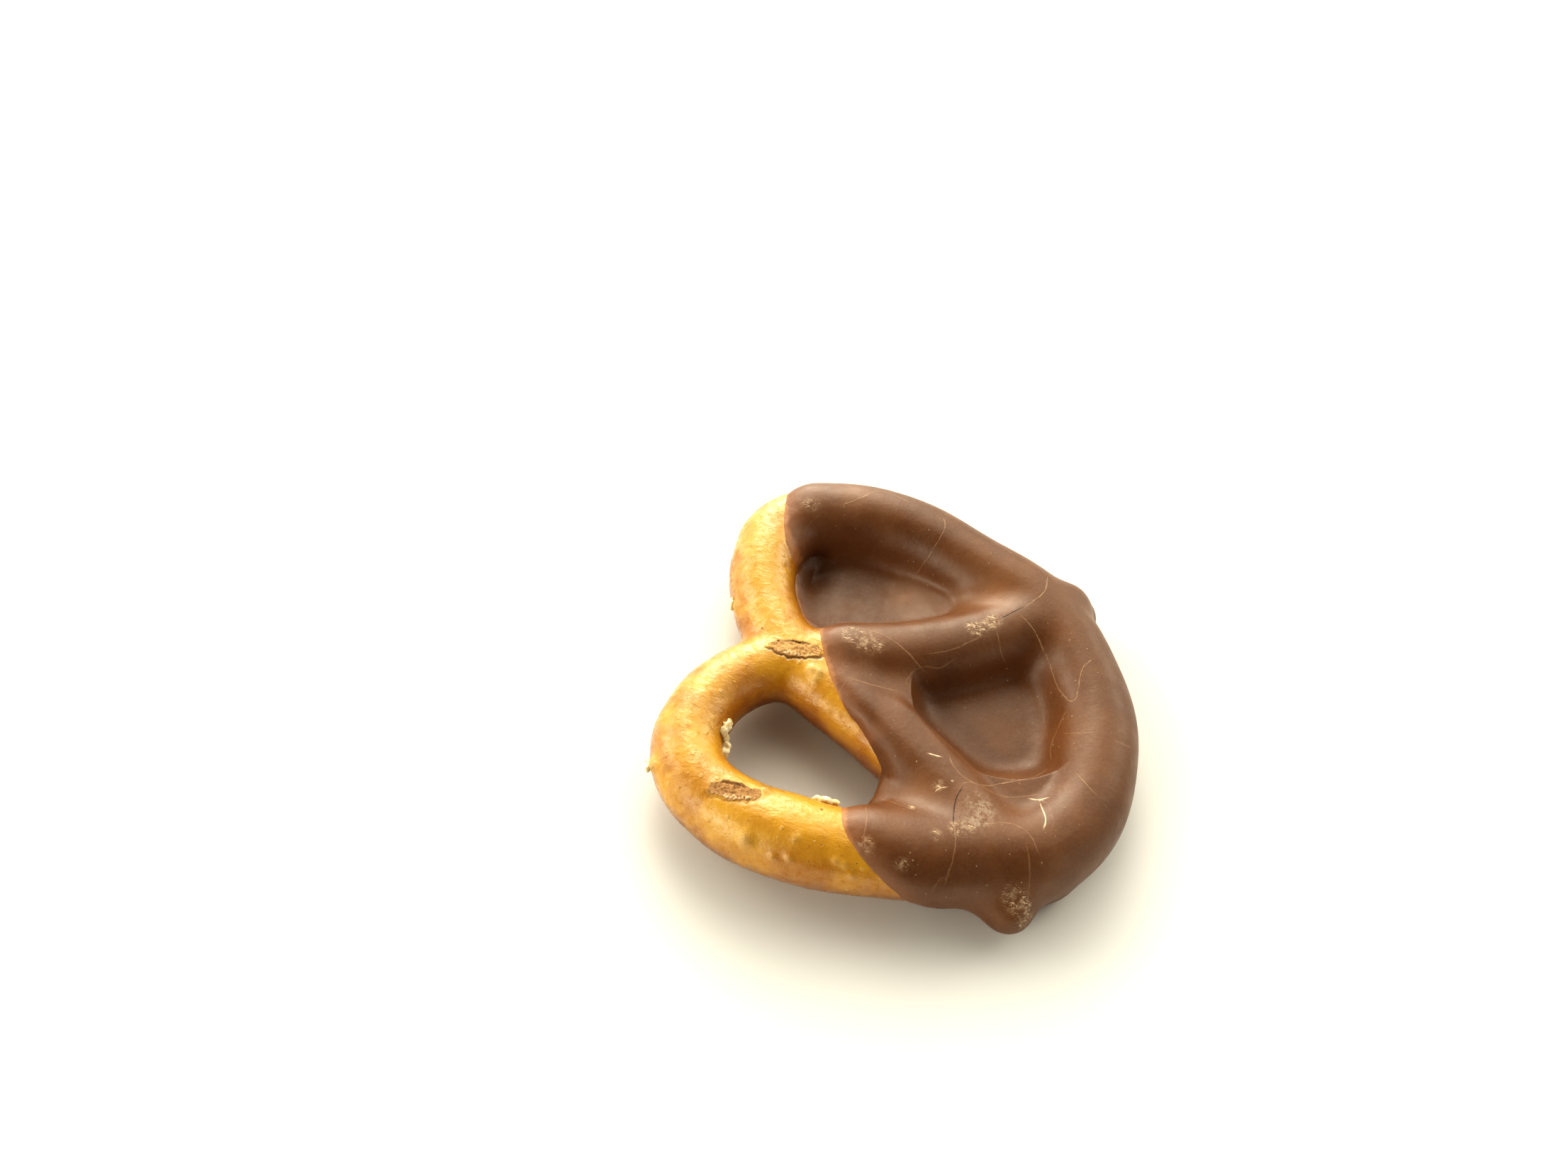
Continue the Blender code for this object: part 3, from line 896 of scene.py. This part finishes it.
class Graph:
    """A node tree, written as formulas."""

    def __init__(self, tree):
        self.tree = tree

    def feed(self, socket, value):
        """Links an output to the socket, or sets a number, a vector or a colour on it."""
        if isinstance(value, bpy.types.NodeSocket):
            self.tree.links.new(value, socket)
        elif isinstance(value, tuple) and len(value) < len(socket.default_value):
            socket.default_value = (*value, 1.0)
        else:
            socket.default_value = value

    def node(self, kind, output, inputs=(), **settings):
        """Adds a node, feeds its inputs and gives back one of its outputs."""
        made = configure(self.tree.nodes.new("ShaderNode" + kind), settings)
        for key, value in dict(inputs).items():
            self.feed(made.inputs[key], value)
        return made.outputs[output]

    def math(self, operation, *values, clamp=False):
        return self.node("Math", 0, enumerate(values), operation=operation, use_clamp=clamp)

    def vector(self, operation, first, second, output="Vector"):
        return self.node("VectorMath", output, {0: first, 1: second}, operation=operation)


class Look(Graph):
    """A material's node tree.  Lengths in it are millimetres of the object's own space."""

    def __init__(self, name):
        self.material = bpy.data.materials.new(name)
        self.material.use_nodes = True
        super().__init__(self.material.node_tree)
        self.shader = self.tree.nodes["Principled BSDF"]
        self.place = self.vector("MULTIPLY", self.node("TexCoord", "Object"), (1 / MM,) * 3)

    def add(self, total, *others):
        for other in others:
            total = self.math("ADD", total, other)
        return total

    def times(self, total, *others):
        for other in others:
            total = self.math("MULTIPLY", total, other)
        return total

    def most(self, first, second):
        return self.math("MAXIMUM", first, second)

    def fade(self, value, low, high, start=0.0, end=1.0):
        """From start at low to end at high, smoothly, and level outside."""
        return self.node("MapRange", "Result",
                         {"Value": value, "From Min": low, "From Max": high, "To Min": start,
                          "To Max": end}, interpolation_type="SMOOTHSTEP")

    def mix(self, share, first, second):
        return self.node("Mix", 2, {0: share, 6: first, 7: second}, data_type="RGBA")

    def moved(self, seed, stretch=None):
        place = self.vector("ADD", self.place, (seed * 13.7, seed * 7.9, seed * 3.3))
        return place if stretch is None else self.vector("MULTIPLY", place, stretch)

    def noise(self, size, seed, detail=3.0, rough=0.5, stretch=None, warp=0.0):
        return self.node("TexNoise", "Fac",
                         {"Vector": self.moved(seed, stretch), "Scale": 1 / size,
                          "Detail": detail, "Roughness": rough, "Distortion": warp})

    def dots(self, size, radius, share, seed):
        """Scattered round dots: one per cell of the given size, on a share of the cells."""
        away = self.node("TexVoronoi", "Distance", {"Vector": self.moved(seed),
                                                    "Scale": 1 / size})
        dot = self.fade(away, radius / size, 0.6 * radius / size)
        red = self.node("SeparateColor", 0, {0: away.node.outputs["Color"]})
        return self.times(dot, self.math("LESS_THAN", red, share))

    def attribute(self, name):
        return self.node("Attribute", "Fac", attribute_name=name)

    def line(self, name, width, wobble, seed):
        """A hairline along the mesh's NAME_off and NAME_on attributes."""
        shake = self.math("SUBTRACT", self.noise(0.9, seed), 0.5)
        off = self.add(self.attribute(name + "_off"), self.times(shake, 2 * wobble))
        thick = self.fade(self.noise(0.7, seed + 5, detail=2.0), 0.3, 0.7, 0.45 * width, width)
        inside = self.math("SUBTRACT", 1.0, self.math("DIVIDE", self.math("ABSOLUTE", off),
                                                       thick), clamp=True)
        return self.times(self.fade(inside, 0.0, 0.6), self.attribute(name + "_on"))

    def bump(self, *heights):
        """Relief from (millimetres, field) pairs."""
        total = self.add(*[self.times(field, amount) for amount, field in heights])
        normal = self.node("Bump", "Normal", {"Strength": 1.0, "Distance": MM, "Height": total})
        for layer in ("Normal", "Coat Normal"):
            self.feed(self.shader.inputs[layer], normal)

    def finish(self, **inputs):
        for key, value in inputs.items():
            self.feed(self.shader.inputs[key.replace("_", " ")], value)
        return self.material


def chocolate_look():
    look = Look("milk chocolate")
    cloud = look.noise(4.0, 1)
    grain = look.noise(0.25, 2, detail=4.0, rough=0.6)
    body = look.mix(look.fade(cloud, 0.35, 0.65), COAT_DARK, COAT_LIGHT)
    body = look.mix(look.fade(grain, 0.3, 0.8, 0.0, 0.25), body, COAT_GREY)
    # Painted sheen: the wide soft areas are lightened towards a paler brown, unevenly.
    uneven = look.fade(look.noise(1.8, 26), 0.3, 0.7, 0.7, 1.0)
    body = look.mix(look.times(look.attribute("painted_sheen"), uneven), body, COAT_PAINTED_SHEEN)
    wander = look.times(look.math("SUBTRACT", look.noise(1.0, 3), 0.5), 0.9)
    reach = look.add(look.attribute("edge"), wander)
    body = look.mix(look.fade(reach, 2.9, 0.6, 0.0, 0.75), body, COAT_ROSY)
    body = look.mix(look.fade(reach, 0.75, 0.25, 0.0, 0.9), body, COAT_THIN)

    dark = look.line("crack", 0.08, 0.05, 11)
    pale = look.most(look.line("hair", 0.09, 0.10, 12),
                     look.times(look.line("vein", 0.12, 0.08, 13), 0.6))
    broken = look.fade(look.noise(0.5, 14, detail=4.0, rough=0.7), 0.32, 0.52)
    pale = look.times(pale, look.fade(broken, 0.0, 1.0, 0.35, 1.0))
    scratch = look.line("scratch", 0.10, 0.06, 15)
    chips = look.noise(0.20, 16, rough=0.6, stretch=(1.0, 0.35, 1.0), warp=1.2)
    patchy = look.fade(look.noise(0.9, 22), 0.42, 0.60)
    flaky = look.fade(look.add(chips, look.times(patchy, 0.10)), 0.61, 0.70, 0.0, 0.8)
    smear = look.fade(look.noise(0.55, 24, detail=6.0, rough=0.8), 0.44, 0.66, 0.0, 0.45)
    scuff = look.times(look.fade(look.attribute("scuff"), 0.05, 0.6), look.most(flaky, smear))
    bloom = look.times(look.attribute("bloom"),
                       look.fade(look.noise(0.5, 17, detail=6.0, rough=0.8), 0.42, 0.62))
    dusty = look.fade(look.noise(3.0, 25), 0.42, 0.62, 0.25, 1.0)
    dust = look.times(look.dots(0.55, 0.085, 0.30, 18), dusty)
    specks = look.most(look.times(dust, 0.6), look.dots(2.3, 0.14, 0.30, 19))
    specks = look.times(specks, look.fade(look.noise(0.09, 23, detail=1.0), 0.34, 0.50))

    colour = body
    for share, tint in ((look.times(bloom, 0.8), COAT_BLOOM),
                        (look.times(pale, 0.60), COAT_HAIR),
                        (look.times(specks, 0.65), COAT_FLECK),
                        (scuff, COAT_FLECK), (scratch, COAT_FLECK),
                        (dark, COAT_CRACK)):
        colour = look.mix(share, colour, tint)
    satin = look.fade(look.noise(1.6, 20, detail=4.0), 0.3, 0.7, 0.36, 0.46)
    rough = look.most(satin, look.times(look.most(scuff, bloom), 0.8))
    look.bump((0.014, grain), (0.03, look.noise(0.9, 21)), (-0.05, dark),
              (0.012, pale), (0.02, scuff), (0.03, specks))
    return look.finish(Base_Color=colour, Roughness=rough, IOR=1.55)


def dough_look():
    look = Look("baked dough")
    height = look.node("SeparateXYZ", "Z", {0: look.place})
    blotch = look.noise(3.6, 31, rough=0.55)
    fine = look.noise(0.55, 32, detail=5.0, rough=0.65)
    crinkle = look.noise(0.22, 33, detail=4.0, rough=0.6, warp=0.6)
    level = look.add(height, look.times(look.math("SUBTRACT", blotch, 0.5), 2.4))
    freckle = look.most(look.dots(1.5, 0.16, 0.35, 34), look.dots(0.8, 0.07, 0.3, 35))
    bubble = look.most(look.dots(1.3, 0.20, 0.4, 36), look.dots(0.7, 0.10, 0.35, 37))
    blister = look.attribute("pale")
    body = look.mix(look.fade(blotch, 0.38, 0.66), DOUGH_AMBER, DOUGH_GOLD)
    # By height: a lighter top, darker low flanks and a paler underside. Partly the bake's own
    # browning, partly painted light on the top, painted shade on the low flanks, and a painted
    # reflection of the pale floor on the underside.
    for share, tint in ((look.fade(level, 5.4, 7.2, 0.0, 0.4), DOUGH_SUNNY),
                        (look.fade(level, 5.4, 2.8, 0.0, 0.85), DOUGH_BROWN),
                        (look.fade(level, 1.9, 1.0, 0.0, 0.4), DOUGH_BEIGE),
                        (look.fade(fine, 0.56, 0.74, 0.0, 0.45), DOUGH_BROWN),
                        (look.fade(fine, 0.40, 0.26, 0.0, 0.18), DOUGH_PALE),
                        (look.times(freckle, 0.7), DOUGH_FRECKLE),
                        (look.times(bubble, 0.35), DOUGH_PALE), (blister, DOUGH_PALE),
                        # painted shadow in the groove below a scar's overhanging lower edge
                        (look.times(look.attribute("scar_shade"), 0.85), SCAR_DARK)):
        body = look.mix(share, body, tint)

    scar = look.fade(look.attribute("scar"), 0.25, 0.75)
    streak = look.noise(0.45, 40, detail=4.0, rough=0.6, stretch=(1.0, 0.35, 1.0), warp=0.8)
    fibre = look.noise(0.30, 38, detail=4.0, rough=0.65, stretch=(1.0, 0.3, 1.0), warp=0.5)
    pits = look.fade(look.noise(0.16, 39, detail=2.0), 0.60, 0.70, 0.0, 0.7)
    crust = look.mix(look.fade(fibre, 0.32, 0.56), SCAR_BROWN, SCAR_TAN)
    for share, tint in ((look.times(look.attribute("scar_old"), 0.85), SCAR_BROWN),
                        (pits, SCAR_DARK),
                        (look.times(look.attribute("scar_top"), 0.6), SCAR_DARK),
                        (look.attribute("scar_crumbs"), SCAR_PALE)):
        crust = look.mix(share, crust, tint)
    body = look.mix(scar, body, crust)

    gloss = look.fade(fine, 0.3, 0.7, 0.34, 0.50)
    rough = look.most(gloss, look.times(scar, 0.85))
    glaze = look.times(look.fade(fine, 0.62, 0.42, 0.45, 1.0), look.math("SUBTRACT", 1.0, scar))
    look.bump((0.018, crinkle), (0.040, fine), (0.045, streak), (0.03, bubble),
              (-0.05, freckle), (0.10, look.times(scar, fibre)),
              (0.12, look.times(blister, crinkle)))
    return look.finish(Base_Color=body, Roughness=rough, IOR=1.5, Subsurface_Weight=0.08,
                       Subsurface_Radius=(1.0, 0.45, 0.12), Subsurface_Scale=0.4 * MM,
                       Coat_Weight=glaze, Coat_Roughness=0.13, Coat_IOR=1.55)


def salt_look():
    look = Look("coarse salt")
    cloud = look.noise(0.5, 41, detail=4.0)
    body = look.mix(look.fade(cloud, 0.35, 0.65), SALT_CLEAR, SALT_WHITE)
    look.bump((0.03, look.noise(0.25, 42)))
    return look.finish(Base_Color=body, Roughness=look.fade(cloud, 0.3, 0.7, 0.15, 0.4), IOR=1.5,
                       Subsurface_Weight=0.3, Subsurface_Radius=(1.0, 0.8, 0.5),
                       Subsurface_Scale=0.5 * MM)


def dress(piece, finish, node):
    piece.data.transform(Matrix.Translation(TO_ORIGIN * MM))
    piece.data.materials.clear()
    piece.data.materials.append(finish)
    piece.data.shade_smooth()
    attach(piece, "root")
    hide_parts(node)


# ---- the set ----

def make_floor():
    edit = bmesh.new()
    bmesh.ops.create_grid(edit, x_segments=1, y_segments=1, size=FLOOR_HALF * MM)
    floor = object_from(edit, "floor")
    finish = Look("pale floor").finish(Base_Color=FLOOR_WHITE, Roughness=FLOOR_ROUGHNESS)
    floor.data.materials.append(finish)


def make_lights():
    """A tent that glows softly, brighter at the back and on the left."""
    world = bpy.data.worlds.new("soft studio")
    bpy.context.scene.world = world
    world.use_nodes = True
    graph = Graph(world.node_tree)
    direction = graph.node("TexCoord", "Generated")
    total = 0.0
    for turn, rise, brightness in GLOWS:
        turn, rise = LOOKING_WAY + math.radians(turn), math.radians(rise)
        middle = (math.cos(turn) * math.cos(rise), math.sin(turn) * math.cos(rise), math.sin(rise))
        facing = graph.vector("DOT_PRODUCT", direction, middle, "Value")
        fall = graph.math("MULTIPLY_ADD", facing, GLOW_TIGHT, -GLOW_TIGHT)
        total = graph.math("MULTIPLY_ADD", graph.math("EXPONENT", fall), brightness, total)
    background = graph.tree.nodes["Background"]
    graph.feed(background.inputs["Color"], TENT_COLOUR)
    graph.feed(background.inputs["Strength"], graph.math("MULTIPLY", total, TENT_STRENGTH))


def make_camera():
    data = bpy.data.cameras.new("camera")
    data.lens = CAMERA_LENS
    data.sensor_width = SENSOR
    data.clip_start = CAMERA_CLIP * MM
    camera = new_object("camera", data)
    camera.location = CAMERA_AT * MM
    camera.rotation_euler = camera_turn().to_euler()
    bpy.context.scene.camera = camera
    bpy.context.scene.view_settings.view_transform = "Standard"
    bpy.context.scene.view_settings.look = "High Contrast"


def main():
    pretzel = dough_skin()
    weather_dough(pretzel)
    coating = make_coating(pretzel)
    mark_edge(coating, pretzel)
    mark_coating(coating)
    dress(make_salt(pretzel), salt_look(), "pretzel")
    dress(pretzel, dough_look(), "pretzel")
    dress(coating, chocolate_look(), "chocolate_coating")
    make_floor()
    make_lights()
    make_camera()


main()
